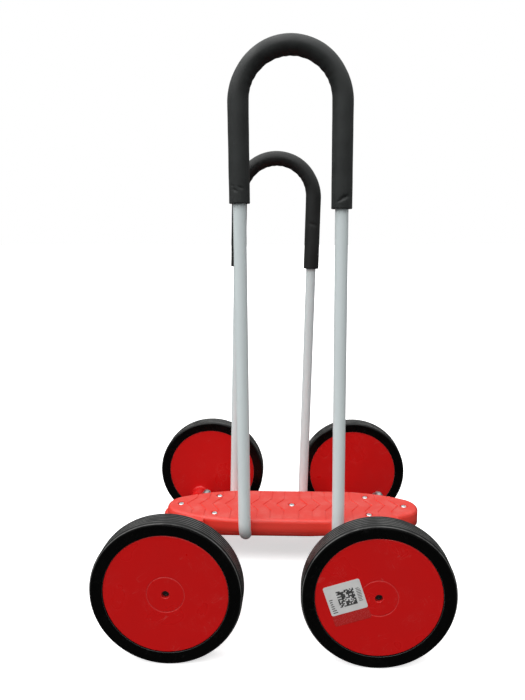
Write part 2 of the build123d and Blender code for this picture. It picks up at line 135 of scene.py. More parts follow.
class WalkerStudio(bpy.types.PropertyGroup):
    """Camera and lights."""

    lens: FloatProperty(
        name="Lens", description="Focal length on a 36 mm sensor, in millimetres",
        default=30.541, min=10, max=200,
    )
    stand: FloatVectorProperty(
        name="Camera place", description="Where the camera stands",
        subtype="TRANSLATION", size=3, default=(0.03515, -0.86663, 0.53001),
    )
    pitch: FloatProperty(
        name="Pitch", description="Tilt of the camera, down is negative",
        default=-0.16638, subtype="ANGLE", unit="ROTATION",
    )
    yaw: FloatProperty(
        name="Yaw", description="Turn of the camera to its right",
        default=-0.0346, subtype="ANGLE", unit="ROTATION",
    )
    roll: FloatProperty(
        name="Roll", description="Lean of the camera",
        default=0.00295, subtype="ANGLE", unit="ROTATION",
    )
    overhead: FloatProperty(
        name="Overhead light", description="Strength of the broad light above",
        default=2.6, min=0, max=20,
    )
    fill: FloatProperty(
        name="Fill light", description="Strength of the even light from all round",
        default=0.6, min=0, max=5,
    )


# ---- node helpers ----
def put(tree, kind, inputs=(), **settings):
    """Add a node, set its options, and set or link its inputs by name or number."""
    made = tree.nodes.new(kind)
    for name, value in settings.items():
        setattr(made, name, value)
    for name, value in dict(inputs).items():
        if isinstance(value, bpy.types.NodeSocket):
            tree.links.new(value, made.inputs[name])
        else:
            made.inputs[name].default_value = value
    return made


def calc(tree, operation, a, b=0.0, clamp=False):
    """Math node; each operand is a number or a socket."""
    made = put(tree, "ShaderNodeMath", {0: a, 1: b}, operation=operation, use_clamp=clamp)
    return made.outputs[0]


def blend_colours(tree, share, first, second):
    """Colour between two colours; each is a socket or three numbers."""
    made = put(tree, "ShaderNodeMix", data_type="RGBA")
    for index, value in ((0, share), (6, first), (7, second)):
        if isinstance(value, bpy.types.NodeSocket):
            tree.links.new(value, made.inputs[index])
        elif index:
            made.inputs[index].default_value = (*value, 1)
        else:
            made.inputs[index].default_value = value
    return made.outputs[2]


def overlay(tree, mask, strength, under, over):
    """Lay a colour over another where a mask is, at most as strongly as given."""
    return blend_colours(tree, calc(tree, "MULTIPLY", mask, strength), under, over)


def shade(colour, share, lift=0.0):
    """A colour made darker or paler: its numbers times a share, plus a lift."""
    return [min(1, channel * share + lift) for channel in colour]


def steps_between(tree, value, low, high, start=0.0, end=1.0):
    """Map a value smoothly from low..high to start..end."""
    made = put(
        tree, "ShaderNodeMapRange",
        {"Value": value, "From Min": low, "From Max": high, "To Min": start, "To Max": end},
        interpolation_type="SMOOTHSTEP",
    )
    return made.outputs["Result"]


def drifting(tree, grain, start, end, low=0.3, high=0.7):
    """Value that drifts from start to end with the broad clouds of a placed grain group."""
    return steps_between(tree, grain.outputs["Cloud"], low, high, start, end)


def new_group(name, inputs, outputs):
    """Empty shader node group with named sockets: (tree, its input node, its output node)."""
    tree = bpy.data.node_groups.new(name, "ShaderNodeTree")
    for label, kind, default in inputs:
        socket = tree.interface.new_socket(name=label, in_out="INPUT", socket_type=kind)
        if default is not None:
            socket.default_value = default
    for label, kind in outputs:
        tree.interface.new_socket(name=label, in_out="OUTPUT", socket_type=kind)
    return tree, tree.nodes.new("NodeGroupInput"), tree.nodes.new("NodeGroupOutput")


def use_group(tree, name, **values):
    """Place a shared group in a material; underscores in the value names stand for spaces."""
    made = tree.nodes.new("ShaderNodeGroup")
    made.node_tree = bpy.data.node_groups[name]
    for label, value in values.items():
        label = label.replace("_", " ")
        if isinstance(value, bpy.types.NodeSocket):
            tree.links.new(value, made.inputs[label])
        else:
            made.inputs[label].default_value = value
    return made


# ---- shared effects ----
def make_grain_group():
    """Small even unevenness of moulded, painted and foamed surfaces."""
    tree, given, result = new_group(
        "Grain",
        [("Place", "NodeSocketVector", None), ("Size", "NodeSocketFloat", 0.001),
         ("Cloud Size", "NodeSocketFloat", 0.03)],
        [("Height", "NodeSocketFloat"), ("Cloud", "NodeSocketFloat")],
    )
    fine = calc(tree, "DIVIDE", 1.0, given.outputs["Size"])
    broad = calc(tree, "DIVIDE", 1.0, given.outputs["Cloud Size"])
    grains = put(
        tree, "ShaderNodeTexNoise",
        {"Vector": given.outputs["Place"], "Scale": fine, "Detail": 3.0, "Roughness": 0.6},
    )
    clouds = put(
        tree, "ShaderNodeTexNoise",
        {"Vector": given.outputs["Place"], "Scale": broad, "Detail": 2.0, "Roughness": 0.5},
    )
    tree.links.new(grains.outputs["Fac"], result.inputs["Height"])
    tree.links.new(clouds.outputs["Fac"], result.inputs["Cloud"])


def make_scratch_group():
    """Hairline scratches: thin crests of noise that is stretched in two directions."""
    crest_width = 0.012
    tree, given, result = new_group(
        "Hairlines",
        [("Place", "NodeSocketVector", None), ("Length", "NodeSocketFloat", 0.03),
         ("Fineness", "NodeSocketFloat", 25.0), ("Share", "NodeSocketFloat", 0.06)],
        [("Mask", "NodeSocketFloat")],
    )
    total = None
    scale = calc(tree, "DIVIDE", 1.0, given.outputs["Length"])
    for turn in ((0.3, 0.5, 0.2), (1.1, 0.4, 1.9), (0.2, 2.2, 1.0)):
        turned = put(
            tree, "ShaderNodeVectorRotate",
            {"Vector": given.outputs["Place"], "Rotation": turn}, rotation_type="EULER_XYZ",
        )
        stretch = put(
            tree, "ShaderNodeCombineXYZ",
            {"X": 1.0, "Y": given.outputs["Fineness"], "Z": 3.0},
        )
        drawn = put(
            tree, "ShaderNodeVectorMath",
            {0: turned.outputs[0], 1: stretch.outputs[0]}, operation="MULTIPLY",
        )
        lines = put(
            tree, "ShaderNodeTexNoise",
            {"Vector": drawn.outputs[0], "Scale": scale, "Detail": 1.0, "Roughness": 0.4},
        )
        away = calc(tree, "ABSOLUTE", calc(tree, "SUBTRACT", lines.outputs["Fac"], 0.5))
        crest = calc(tree, "SUBTRACT", 1.0, calc(tree, "DIVIDE", away, crest_width), clamp=True)
        here = put(
            tree, "ShaderNodeTexNoise",
            {"Vector": turned.outputs[0], "Scale": scale, "Detail": 1.0},
        )
        least = calc(tree, "SUBTRACT", 1.0, given.outputs["Share"])
        spread = calc(tree, "MULTIPLY", calc(tree, "SUBTRACT", here.outputs["Fac"], 0.5), 2.0)
        scratched = calc(tree, "GREATER_THAN", calc(tree, "ADD", spread, 0.5), least)
        mark = calc(tree, "MULTIPLY", crest, scratched)
        total = mark if total is None else calc(tree, "MAXIMUM", total, mark)
    tree.links.new(total, result.inputs["Mask"])


def make_edge_group():
    """Rounded-over normal for sharp edges, and a mask that is 1 on them."""
    sharpness = 6.0
    tree, given, result = new_group(
        "Soft Edge",
        [("Radius", "NodeSocketFloat", 0.0004)],
        [("Normal", "NodeSocketVector"), ("Edge", "NodeSocketFloat")],
    )
    rounded = put(tree, "ShaderNodeBevel", {"Radius": given.outputs["Radius"]}, samples=6)
    flat = put(tree, "ShaderNodeNewGeometry")
    along = put(
        tree, "ShaderNodeVectorMath",
        {0: rounded.outputs[0], 1: flat.outputs["Normal"]}, operation="DOT_PRODUCT",
    )
    turned = calc(tree, "SUBTRACT", 1.0, along.outputs["Value"])
    edge = calc(tree, "MULTIPLY", turned, sharpness, clamp=True)
    tree.links.new(rounded.outputs[0], result.inputs["Normal"])
    tree.links.new(edge, result.inputs["Edge"])


def make_dust_group():
    """Settled dust on faces that look up at rest."""
    tree, given, result = new_group(
        "Dust",
        [("Place", "NodeSocketVector", None), ("Facing", "NodeSocketVector", None),
         ("Amount", "NodeSocketFloat", 0.2)],
        [("Mask", "NodeSocketFloat")],
    )
    split = put(tree, "ShaderNodeSeparateXYZ", {0: given.outputs["Facing"]})
    up = steps_between(tree, split.outputs["Z"], 0.3, 1.0)
    drift = put(
        tree, "ShaderNodeTexNoise",
        {"Vector": given.outputs["Place"], "Scale": 45.0, "Detail": 5.0, "Roughness": 0.65},
    )
    patch = steps_between(tree, drift.outputs["Fac"], 0.42, 0.7)
    mask = calc(tree, "MULTIPLY", calc(tree, "MULTIPLY", up, patch), given.outputs["Amount"])
    tree.links.new(mask, result.inputs["Mask"])


# ---- materials ----
def start_material(name):
    """New material: (material, its node tree, its Principled node)."""
    made = bpy.data.materials.new(name)
    made.use_nodes = True
    return made, made.node_tree, made.node_tree.nodes["Principled BSDF"]


def rest_place(tree):
    """Place on the walker at rest, in metres."""
    return put(tree, "ShaderNodeTexCoord").outputs["Object"]


def rest_facing(tree):
    """Direction that a face looks in at rest."""
    return put(tree, "ShaderNodeTexCoord").outputs["Normal"]


def on_left(tree, place):
    """1 on the left half of the walker, 0 on the right."""
    split = put(tree, "ShaderNodeSeparateXYZ", {0: place})
    return calc(tree, "GREATER_THAN", split.outputs["Y"], 0.0)


def set_bump(tree, shader, height, distance, normal=None):
    """Feed a height into the shader's normal."""
    given = {"Height": height, "Distance": distance, "Strength": 1.0}
    if normal is not None:
        given["Normal"] = normal
    bump = put(tree, "ShaderNodeBump", given)
    tree.links.new(bump.outputs[0], shader.inputs["Normal"])


def from_axle(tree, place):
    """(distance from the nearest wheel's axle line, distance from its middle plane)."""
    split = put(tree, "ShaderNodeSeparateXYZ", {0: place})
    along = calc(tree, "SUBTRACT", calc(tree, "ABSOLUTE", split.outputs["X"]), WHEEL.x)
    up = calc(tree, "SUBTRACT", split.outputs["Z"], WHEEL.z)
    radius = calc(tree, "SQRT", calc(tree, "ADD", calc(tree, "POWER", along, 2.0),
                                     calc(tree, "POWER", up, 2.0)))
    across = calc(tree, "ADD", calc(tree, "ABSOLUTE", split.outputs["Y"]), WHEEL.y)
    return radius, across


def tyre_rubber(finish, shapes):
    """Black satin rubber: ribbed, dulled rolling face, smooth side, faint scuffs, with painted
    highlight along the tread ridges and on the shoulder and lip edges.
    """
    made, tree, shader = start_material("Tyre Rubber")
    place = rest_place(tree)
    grain = use_group(tree, "Grain", Place=place, Size=0.0009, Cloud_Size=0.02)
    scuff = use_group(tree, "Hairlines", Place=place, Length=0.03, Fineness=16.0, Share=0.3)
    soft = use_group(tree, "Soft Edge", Radius=0.0009)
    radius, across = from_axle(tree, place)
    rolling = steps_between(tree, radius, WHEEL_RADIUS - WEAR_STARTS, WHEEL_RADIUS - WEAR_FULL)
    pitch = (TYRE_HIGH.y - TYRE_LOW.y) / shapes.tread_lines
    wave = calc(tree, "SINE", calc(tree, "MULTIPLY", across, 2 * math.pi / pitch))
    lines = calc(tree, "MULTIPLY", steps_between(tree, wave, 0.60, 0.98), rolling)
    ridge_highlight = calc(tree, "MULTIPLY", lines, drifting(tree, grain, 0.35, 1.0, 0.3, 0.6))
    tread_wear_and_highlight = blend_colours(tree, drifting(tree, grain, 0.0, 0.5, 0.4, 0.7), finish.tread_grey,
                         shade(finish.tread_grey, 2.6, 0.006))
    # painted highlight: the ridge lines of the rolling face are made pale grey
    tread_wear_and_highlight = blend_colours(tree, ridge_highlight, tread_wear_and_highlight, (0.24, 0.24, 0.235))
    tread_wear_and_highlight = overlay(tree, scuff.outputs["Mask"], 0.3, tread_wear_and_highlight, (0.10, 0.10, 0.10))
    colour = blend_colours(tree, rolling, finish.tyre_black, tread_wear_and_highlight)
    colour = overlay(tree, scuff.outputs["Mask"], 0.04, colour, (0.2, 0.2, 0.2))
    # painted highlight: the shoulder and inner lip edges are made pale grey
    colour = overlay(tree, soft.outputs["Edge"], 0.45, colour, (0.22, 0.22, 0.22))
    tree.links.new(colour, shader.inputs["Base Color"])
    rough = calc(tree, "ADD", drifting(tree, grain, 0.24, 0.32, 0.35, 0.65),
                 calc(tree, "MULTIPLY", rolling, 0.16))
    tree.links.new(rough, shader.inputs["Roughness"])
    height = calc(tree, "ADD", calc(tree, "MULTIPLY", grain.outputs["Height"], 0.05), lines)
    set_bump(tree, shader, height, 0.0005, soft.outputs["Normal"])
    shader.inputs["Specular IOR Level"].default_value = 0.2
    return made


def wheel_plastic(finish):
    """Deep red moulding: slight orange peel, hairlines, and a painted highlight on the ring groove
    and rim edges.
    """
    made, tree, shader = start_material("Wheel Plastic")
    place = rest_place(tree)
    grain = use_group(tree, "Grain", Place=place, Size=0.004, Cloud_Size=0.05)
    scratch = use_group(tree, "Hairlines", Place=place, Length=0.035, Fineness=14.0, Share=0.27)
    soft = use_group(tree, "Soft Edge", Radius=0.0009)
    dust = use_group(tree, "Dust", Place=place, Facing=rest_facing(tree), Amount=0.06)
    colour = blend_colours(tree, drifting(tree, grain, 0.0, 0.18), finish.wheel_red,
                           shade(finish.wheel_red, 0.82))
    colour = overlay(tree, scratch.outputs["Mask"], 0.22, colour, (0.62, 0.16, 0.15))
    # painted highlight: the rim and ring groove edges are made paler red
    colour = overlay(tree, soft.outputs["Edge"], 0.7, colour, shade(finish.wheel_red, 1.1, 0.10))
    colour = blend_colours(tree, dust.outputs["Mask"], colour, (0.5, 0.45, 0.42))
    tree.links.new(colour, shader.inputs["Base Color"])
    rough = calc(tree, "ADD", drifting(tree, grain, 0.26, 0.36),
                 calc(tree, "MULTIPLY", scratch.outputs["Mask"], 0.2))
    tree.links.new(rough, shader.inputs["Roughness"])
    height = calc(tree, "SUBTRACT", grain.outputs["Height"],
                  calc(tree, "MULTIPLY", scratch.outputs["Mask"], 0.3))
    set_bump(tree, shader, height, 0.00006, soft.outputs["Normal"])
    shader.inputs["Specular IOR Level"].default_value = 0.3
    return made


def above_rim(tree, place):
    """Height above the lower rim of whichever step a place is on."""
    rise = calc(tree, "MULTIPLY", on_left(tree, place), STEP_FLOORS[1] - STEP_FLOORS[0])
    rim = calc(tree, "ADD", rise, STEP_FLOORS[0] + RIM_HEIGHT)
    split = put(tree, "ShaderNodeSeparateXYZ", {0: place})
    return calc(tree, "SUBTRACT", split.outputs["Z"], rim)


def step_plastic(finish):
    """Brighter red moulding of the steps, scuffed: painted light makes its sides brightest, with a
    painted highlight on its edges and painted shade along the lower rim.
    """
    made, tree, shader = start_material("Step Plastic")
    place = rest_place(tree)
    facing = rest_facing(tree)
    grain = use_group(tree, "Grain", Place=place, Size=0.0012, Cloud_Size=0.04)
    scratch = use_group(tree, "Hairlines", Place=place, Length=0.02, Fineness=22.0, Share=0.16)
    soft = use_group(tree, "Soft Edge", Radius=0.0005)
    dust = use_group(tree, "Dust", Place=place, Facing=facing, Amount=0.12)
    paler = shade(finish.step_red, 1.15, 0.06)
    colour = blend_colours(tree, drifting(tree, grain, 0.0, 0.25), finish.step_red,
                           shade(finish.step_red, 0.86))
    colour = overlay(tree, scratch.outputs["Mask"], 0.22, colour, paler)
    # painted highlight: the edges are made paler red
    colour = overlay(tree, soft.outputs["Edge"], 0.25, colour, paler)
    colour = blend_colours(tree, dust.outputs["Mask"], colour, (0.75, 0.42, 0.38))
    upward = put(tree, "ShaderNodeSeparateXYZ", {0: facing}).outputs["Z"]
    # painted light: faces that do not look up are made brighter red
    painted_side_light = steps_between(tree, upward, 0.2, 0.6, 0.9, 0.0)
    colour = blend_colours(tree, painted_side_light, colour, (0.95, 0.068, 0.048))
    # painted shade: the step darkens towards its lower rim
    painted_rim_shade = steps_between(tree, above_rim(tree, place), 0.0, RIM_SHADE_HEIGHT, 0.8, 0.0)
    colour = blend_colours(tree, painted_rim_shade, colour, shade(finish.step_red, 0.5))
    tree.links.new(colour, shader.inputs["Base Color"])
    tree.links.new(drifting(tree, grain, 0.28, 0.38), shader.inputs["Roughness"])
    set_bump(tree, shader, grain.outputs["Height"], 0.00008, soft.outputs["Normal"])
    shader.inputs["Specular IOR Level"].default_value = 0.45
    return made


def powder_coat(finish):
    """Pale grey powder coat: orange peel, faint rub marks along the tube."""
    made, tree, shader = start_material("Powder Coat")
    place = rest_place(tree)
    grain = use_group(tree, "Grain", Place=place, Size=0.0016, Cloud_Size=0.06)
    rub = use_group(tree, "Hairlines", Place=place, Length=0.05, Fineness=30.0, Share=0.12)
    colour = blend_colours(tree, drifting(tree, grain, 0.0, 0.2, 0.35, 0.65), finish.tube_grey,
                           shade(finish.tube_grey, 0.9))
    colour = overlay(tree, rub.outputs["Mask"], 0.3, colour, shade(finish.tube_grey, 0.7))
    tree.links.new(colour, shader.inputs["Base Color"])
    rough = steps_between(tree, grain.outputs["Height"], 0.3, 0.7, 0.34, 0.44)
    tree.links.new(rough, shader.inputs["Roughness"])
    set_bump(tree, shader, grain.outputs["Height"], 0.00008)
    shader.inputs["Coat Weight"].default_value = 0.15
    shader.inputs["Coat Roughness"].default_value = 0.2
    return made


def grip_foam(finish):
    """Charcoal closed-cell foam: fine pores darkened with painted shade, rubbed patches, darker on
    the left handle.
    """
    made, tree, shader = start_material("Grip Foam")
    place = rest_place(tree)
    grain = use_group(tree, "Grain", Place=place, Size=0.0007, Cloud_Size=0.025)
    rub = use_group(tree, "Hairlines", Place=place, Length=0.018, Fineness=8.0, Share=0.2)
    pores = put(tree, "ShaderNodeTexVoronoi", {"Vector": place, "Scale": 900.0})
    pit = steps_between(tree, pores.outputs["Distance"], 0.0, 0.25, 1.0, 0.0)
    colour = blend_colours(tree, drifting(tree, grain, 0.0, 0.6, 0.35), finish.foam_charcoal,
                           shade(finish.foam_charcoal, 1.5, 0.004))
    colour = overlay(tree, rub.outputs["Mask"], 0.25, colour,
                     shade(finish.foam_charcoal, 2.2, 0.01))
    # painted shade: the pores are darkened
    colour = overlay(tree, pit, 0.5, colour, (0.004, 0.004, 0.004))
    colour = overlay(tree, on_left(tree, place), 0.6, colour, (0.003, 0.003, 0.003))
    tree.links.new(colour, shader.inputs["Base Color"])
    tree.links.new(drifting(tree, grain, 0.52, 0.66), shader.inputs["Roughness"])
    height = calc(tree, "SUBTRACT", grain.outputs["Height"], calc(tree, "MULTIPLY", pit, 0.7))
    set_bump(tree, shader, height, 0.00018)
    shader.inputs["Sheen Weight"].default_value = 0.03
    shader.inputs["Specular IOR Level"].default_value = 0.4
    return made


def plated_steel(name, brightness):
    """Zinc plating, slightly cloudy with fine handling marks; a low brightness makes all its
    colours darker.
    """
    made, tree, shader = start_material(name)
    place = rest_place(tree)
    grain = use_group(tree, "Grain", Place=place, Size=0.0006, Cloud_Size=0.004)
    marks = use_group(tree, "Hairlines", Place=place, Length=0.006, Fineness=18.0, Share=0.3)
    soft = use_group(tree, "Soft Edge", Radius=0.0003)
    colour = blend_colours(tree, grain.outputs["Cloud"], shade((0.72, 0.73, 0.74), brightness),
                           shade((0.60, 0.61, 0.60), brightness))
    colour = overlay(tree, marks.outputs["Mask"], 0.4, colour, shade((0.40, 0.40, 0.39), brightness))
    tree.links.new(colour, shader.inputs["Base Color"])
    tree.links.new(drifting(tree, grain, 0.22, 0.36), shader.inputs["Roughness"])
    set_bump(tree, shader, grain.outputs["Height"], 0.00003, soft.outputs["Normal"])
    shader.inputs["Metallic"].default_value = 1.0
    return made


def plain_plastic(name, colour, rough):
    """Small plain surfaces such as bushes, end plugs and the sticker, with a painted highlight on
    their edges.
    """
    made, tree, shader = start_material(name)
    grain = use_group(tree, "Grain", Place=rest_place(tree), Size=0.0009, Cloud_Size=0.01)
    soft = use_group(tree, "Soft Edge", Radius=0.0004)
    mixed = blend_colours(tree, grain.outputs["Cloud"], colour, shade(colour, 0.8))
    # painted highlight: the edges are made paler
    mixed = overlay(tree, soft.outputs["Edge"], 0.2, mixed, shade(colour, 1.3, 0.02))
    tree.links.new(mixed, shader.inputs["Base Color"])
    tree.links.new(steps_between(tree, grain.outputs["Height"], 0.3, 0.7, rough, rough + 0.08),
                   shader.inputs["Roughness"])
    set_bump(tree, shader, grain.outputs["Height"], 0.00006, soft.outputs["Normal"])
    return made


def dress(nodes, material):
    """Give CAD nodes a material."""
    for name in nodes:
        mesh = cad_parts[name].data
        mesh.materials.clear()
        mesh.materials.append(material)


def add_mesh(name, shape, material, body):
    """Turn a bmesh into a piece that rides on a body."""
    mesh = bpy.data.meshes.new(name)
    shape.to_mesh(mesh)
    shape.free()
    mesh.materials.append(material)
    piece = bpy.data.objects.new(name, mesh)
    bpy.context.scene.collection.objects.link(piece)
    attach(piece, body)
    return piece


# ---- foam grips ----
RINGS_APART = 0.0011  # along a sleeve
RING_POINTS = 56
END_ROUNDING = 0.0009  # at the outer edge of a sleeve's cut end
BEND_RUN = 0.03  # length over which the folds fade in and out
FOLD_LENGTH = 0.0021
FOLD_DRIFT = 0.011  # length over which the folds' spacing changes
UNEVENNESS = 0.00022
LUMPS_PER_METRE = 38


class HoopPath:
    """Centre line of a handle's grip, read from the CAD sleeve: up one leg, round, down."""

    SLACK = 0.003  # below the arch's middle, so that its widest points count
    END_DEPTH = 0.004  # a cut end lies within this, however the leg leans

    def __init__(self, side):
        low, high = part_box(f"{side}_grip")
        verts = [vertex.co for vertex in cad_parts[f"{side}_grip"].data.vertices]
        self.foam = (high.y - low.y) / 2
        half = self.foam * 5  # a first guess at the arch's outer radius, which the loop mends
        for _ in range(3):
            arch = [co.x for co in verts if co.z > high.z - half - self.SLACK]
            half = (max(arch) - min(arch)) / 2
        self.bend = half - self.foam
        self.centre = Vector(((max(arch) + min(arch)) / 2, (low.y + high.y) / 2, high.z - half))
        self.legs = [self.leg(verts, sign) for sign in (-1, 1)]
        self.first, self.second = (leg[0].length for leg in self.legs)
        start, end = (leg[1] for leg in self.legs)
        self.start = math.atan2(start.z, start.x) % (2 * math.pi)
        self.sweep = self.start - math.atan2(end.z, end.x)
        self.length = self.first + self.sweep * self.bend + self.second

    def leg(self, verts, sign):
        """(vector down one leg, spoke from the bend's centre to the top of that leg)."""
        own = [co for co in verts if sign * (co.x - self.centre.x) > 0]
        lowest = min(co.z for co in own)
        ring = [co for co in own if co.z < lowest + self.END_DEPTH]
        foot = sum(ring, Vector()) / len(ring) - self.centre
        foot.y = 0
        tilt = math.acos(self.bend / foot.length)
        turned = Matrix.Rotation(-sign * tilt, 3, "Y") @ foot.normalized()
        spoke = turned * self.bend
        return foot - spoke, spoke

    def at(self, distance):
        """(point, tangent, direction away from the bend's centre) at a distance along."""
        along = distance - self.first
        if along < 0:
            run, spoke = self.legs[0]
            tangent = -run.normalized()
            return self.centre + spoke + tangent * along, tangent, spoke.normalized()
        rest = along - self.sweep * self.bend
        if rest > 0:
            run, spoke = self.legs[1]
            tangent = run.normalized()
            return self.centre + spoke + tangent * rest, tangent, spoke.normalized()
        angle = self.start - along / self.bend
        away = Vector((math.cos(angle), 0, math.sin(angle)))
        tangent = Vector((math.sin(angle), 0, -math.cos(angle)))
        return self.centre + away * self.bend, tangent, away


def foam_radius(path, shapes, distance, angle, marks):
    """Outer radius of the foam; angle 0 looks away from the bend's centre, 90 degrees to -Y."""
    radius = path.foam
    start, end = path.first, path.first + path.sweep * path.bend
    in_bend = max(0.0, min(1.0, (distance - start) / BEND_RUN, (end - distance) / BEND_RUN))
    inner = max(0.0, -math.cos(angle)) ** 1.5
    outer = max(0.0, math.cos(angle))
    fold = math.sin(distance / FOLD_LENGTH + 1.7 * math.sin(distance / FOLD_DRIFT))
    radius -= shapes.foam_ripple * inner * in_bend * (1 + fold)
    radius -= shapes.foam_thinning * outer * in_bend
    lump = Vector((distance * LUMPS_PER_METRE, math.cos(angle) * 0.9, math.sin(angle) * 0.9))
    radius -= UNEVENNESS * (1 + noise.noise(lump))
    for mark_distance, mark_angle, size, lean, depth in marks:
        turn = math.atan2(math.sin(angle - mark_angle), math.cos(angle - mark_angle))
        sideways = turn * path.foam
        along = (distance - mark_distance + lean * sideways) / size
        radius -= depth * math.exp(-(along ** 2) - (sideways / (size * 2.2)) ** 2)
    into_edge = END_ROUNDING - min(distance, path.length - distance)
    if into_edge > 0:
        radius -= END_ROUNDING - math.sqrt(max(0.0, END_ROUNDING ** 2 - into_edge ** 2))
    return radius


def thumb_marks(side, path, dent):
    """Dents of one grip: (distance along, angle, size, lean, depth) of each."""
    facing = math.radians(90)
    if side == "left":
        return [(path.length - 0.0730, facing, 0.0026, 0.2, dent * 0.4)]
    return [
        (0.0150, facing * 0.80, 0.0013, 0.5, dent * 0.50),
        (0.0180, facing * 1.15, 0.0011, 0.4, dent * 0.55),
        (0.0205, facing * 0.60, 0.0010, 0.6, dent * 0.35),
        (path.length - 0.0130, facing * 0.85, 0.0020, -0.3, dent * 0.75),
        (path.length - 0.0100, facing * 1.1, 0.0014, -0.6, dent * 0.5),
    ]


def grip_shape(path, shapes, marks):
    """Closed sleeve: outer skin, square-cut ends and a bore."""
    cuts = [0.0, 0.0002, 0.0005, END_ROUNDING]
    count = int(path.length / RINGS_APART)
    between = path.length - 2 * END_ROUNDING
    inside = [END_ROUNDING + between * i / count for i in range(1, count)]
    stations = cuts + inside + [path.length - c for c in reversed(cuts)]
    shape = bmesh.new()

    def ring(distance, radius_of):
        point, tangent, away = path.at(distance)
        side = tangent.cross(away)
        made = []
        for i in range(RING_POINTS):
            angle = 2 * math.pi * i / RING_POINTS
            spoke = away * math.cos(angle) + side * math.sin(angle)
            made.append(shape.verts.new(point + spoke * radius_of(angle)))
        return made

    skin = [ring(d, lambda a, d=d: foam_radius(path, shapes, d, a, marks)) for d in stations]
    bore = [ring(d, lambda a: shapes.tube_radius) for d in stations[::6] + [path.length]]
    loops = skin + list(reversed(bore))
    for first, second in zip(loops, loops[1:] + loops[:1]):
        for i in range(RING_POINTS):
            j = (i + 1) % RING_POINTS
            shape.faces.new((first[i], second[i], second[j], first[j]))
    bmesh.ops.recalc_face_normals(shape, faces=shape.faces)
    for face in shape.faces:
        face.smooth = True
    return shape


# ---- sticker ----
# The sticker is made in its own plane: x right, y up, z off the wheel, 0 in its middle.
LABEL_WIDTH = 0.046
LABEL_HEIGHT = 0.054
FILM_STRIP = 0.0145  # height of the clear film below the paper
PRINT_CELL = 0.00168
PRINT_CELLS = 13  # blocks each way in the square patch
PRINT_BARS = (  # rows, left end, top, rows apart, least width, spread of widths, height
    (9, 0.0150, 0.0150, 0.0021, 0.0035, 0.0022, 0.0008),
    (7, -0.0200, 0.0080, 0.0029, 0.0030, 0.0030, 0.0012),
)


def rounded_panel(low, high, radius, thickness):
    """Thin panel with rounded corners."""
    shape = bmesh.new()
    corners = ((high.x, high.y, 0), (low.x, high.y, 90), (low.x, low.y, 180), (high.x, low.y, 270))
    outline = []
    for x, y, start in corners:
        cx = x - math.copysign(radius, x - (low.x + high.x) / 2)
        cy = y - math.copysign(radius, y - (low.y + high.y) / 2)
        for turn in range(0, 91, 15):
            angle = math.radians(start + turn)
            outline.append((cx + radius * math.cos(angle), cy + radius * math.sin(angle)))
    bottom = [shape.verts.new((x, y, 0)) for x, y in outline]
    top = [shape.verts.new((x, y, thickness)) for x, y in outline]
    shape.faces.new(list(reversed(bottom)))
    shape.faces.new(top)
    for i in range(len(outline)):
        j = (i + 1) % len(outline)
        shape.faces.new((bottom[i], bottom[j], top[j], top[i]))
    return shape


def add_block(shape, x, y, width, height, low, high):
    """Small raised rectangle of print."""
    corners = [(x, y), (x + width, y), (x + width, y + height), (x, y + height)]
    bottom = [shape.verts.new((cx, cy, low)) for cx, cy in corners]
    top = [shape.verts.new((cx, cy, high)) for cx, cy in corners]
    shape.faces.new(list(reversed(bottom)))
    shape.faces.new(top)
    for i in range(4):
        j = (i + 1) % 4
        shape.faces.new((bottom[i], bottom[j], top[j], top[i]))


def label_print(low, high):
    """Generic print that says nothing: a patch of blocks, and bars in place of lines."""
    shape = bmesh.new()
    chance = random.Random(7)
    left, base = -0.0095, -0.0042
    side = PRINT_CELL * 0.98
    for row in range(PRINT_CELLS):
        for column in range(PRINT_CELLS):
            if chance.random() < 0.6:
                add_block(shape, left + column * PRINT_CELL, base + row * PRINT_CELL,
                          side, side, low, high)
    for rows, start, top, apart, least, spread, height in PRINT_BARS:
        for row in range(rows):
            width = least + spread * chance.random()
            add_block(shape, start, top - row * apart, width, height, low, high)
    return shape


# ---- operators ----
class WALKER_OT_effects(bpy.types.Operator):
    """Build the surface effects that the materials share"""

    bl_idname = "walker.effects"
    bl_label = "Surface effects"

    def execute(self, context):
        make_grain_group()
        make_scratch_group()
        make_edge_group()
        make_dust_group()
        return {"FINISHED"}


class WALKER_OT_wheels(bpy.types.Operator):
    """Finish the tyres and the wheel discs"""

    bl_idname = "walker.wheels"
    bl_label = "Wheels"

    def execute(self, context):
        finish = context.scene.walker_finish
        wheels = [f"{end}_{side}" for end in ENDS for side in SIDES]
        rubber = tyre_rubber(finish, context.scene.walker_shapes)
        dress([f"{wheel}_tyre" for wheel in wheels], rubber)
        discs = [f"{wheel}_{face}_disc" for wheel in wheels for face in ("outer", "inner")]
        dress(discs, wheel_plastic(finish))
        return {"FINISHED"}


class WALKER_OT_steps(bpy.types.Operator):
    """Finish the two steps"""

    bl_idname = "walker.steps"
    bl_label = "Steps"

    def execute(self, context):
        shells = [f"{side}_{name}" for side in SIDES for name in ("tread_cover", "step_base")]
        dress(shells, step_plastic(context.scene.walker_finish))
        nylon = plain_plastic("Bush Nylon", (0.62, 0.60, 0.55), 0.4)
        dress([f"{side}_bushes" for side in SIDES], nylon)
        return {"FINISHED"}


class WALKER_OT_handles(bpy.types.Operator):
    """Finish the handle tubes and their end plugs"""

    bl_idname = "walker.handles"
    bl_label = "Handle tubes"

    def execute(self, context):
        coat = powder_coat(context.scene.walker_finish)
        dress([f"{side}_handle_tube" for side in SIDES], coat)
        black = plain_plastic("Plug Plastic", (0.02, 0.02, 0.02), 0.45)
        dress([f"{side}_tube_plugs" for side in SIDES], black)
        return {"FINISHED"}


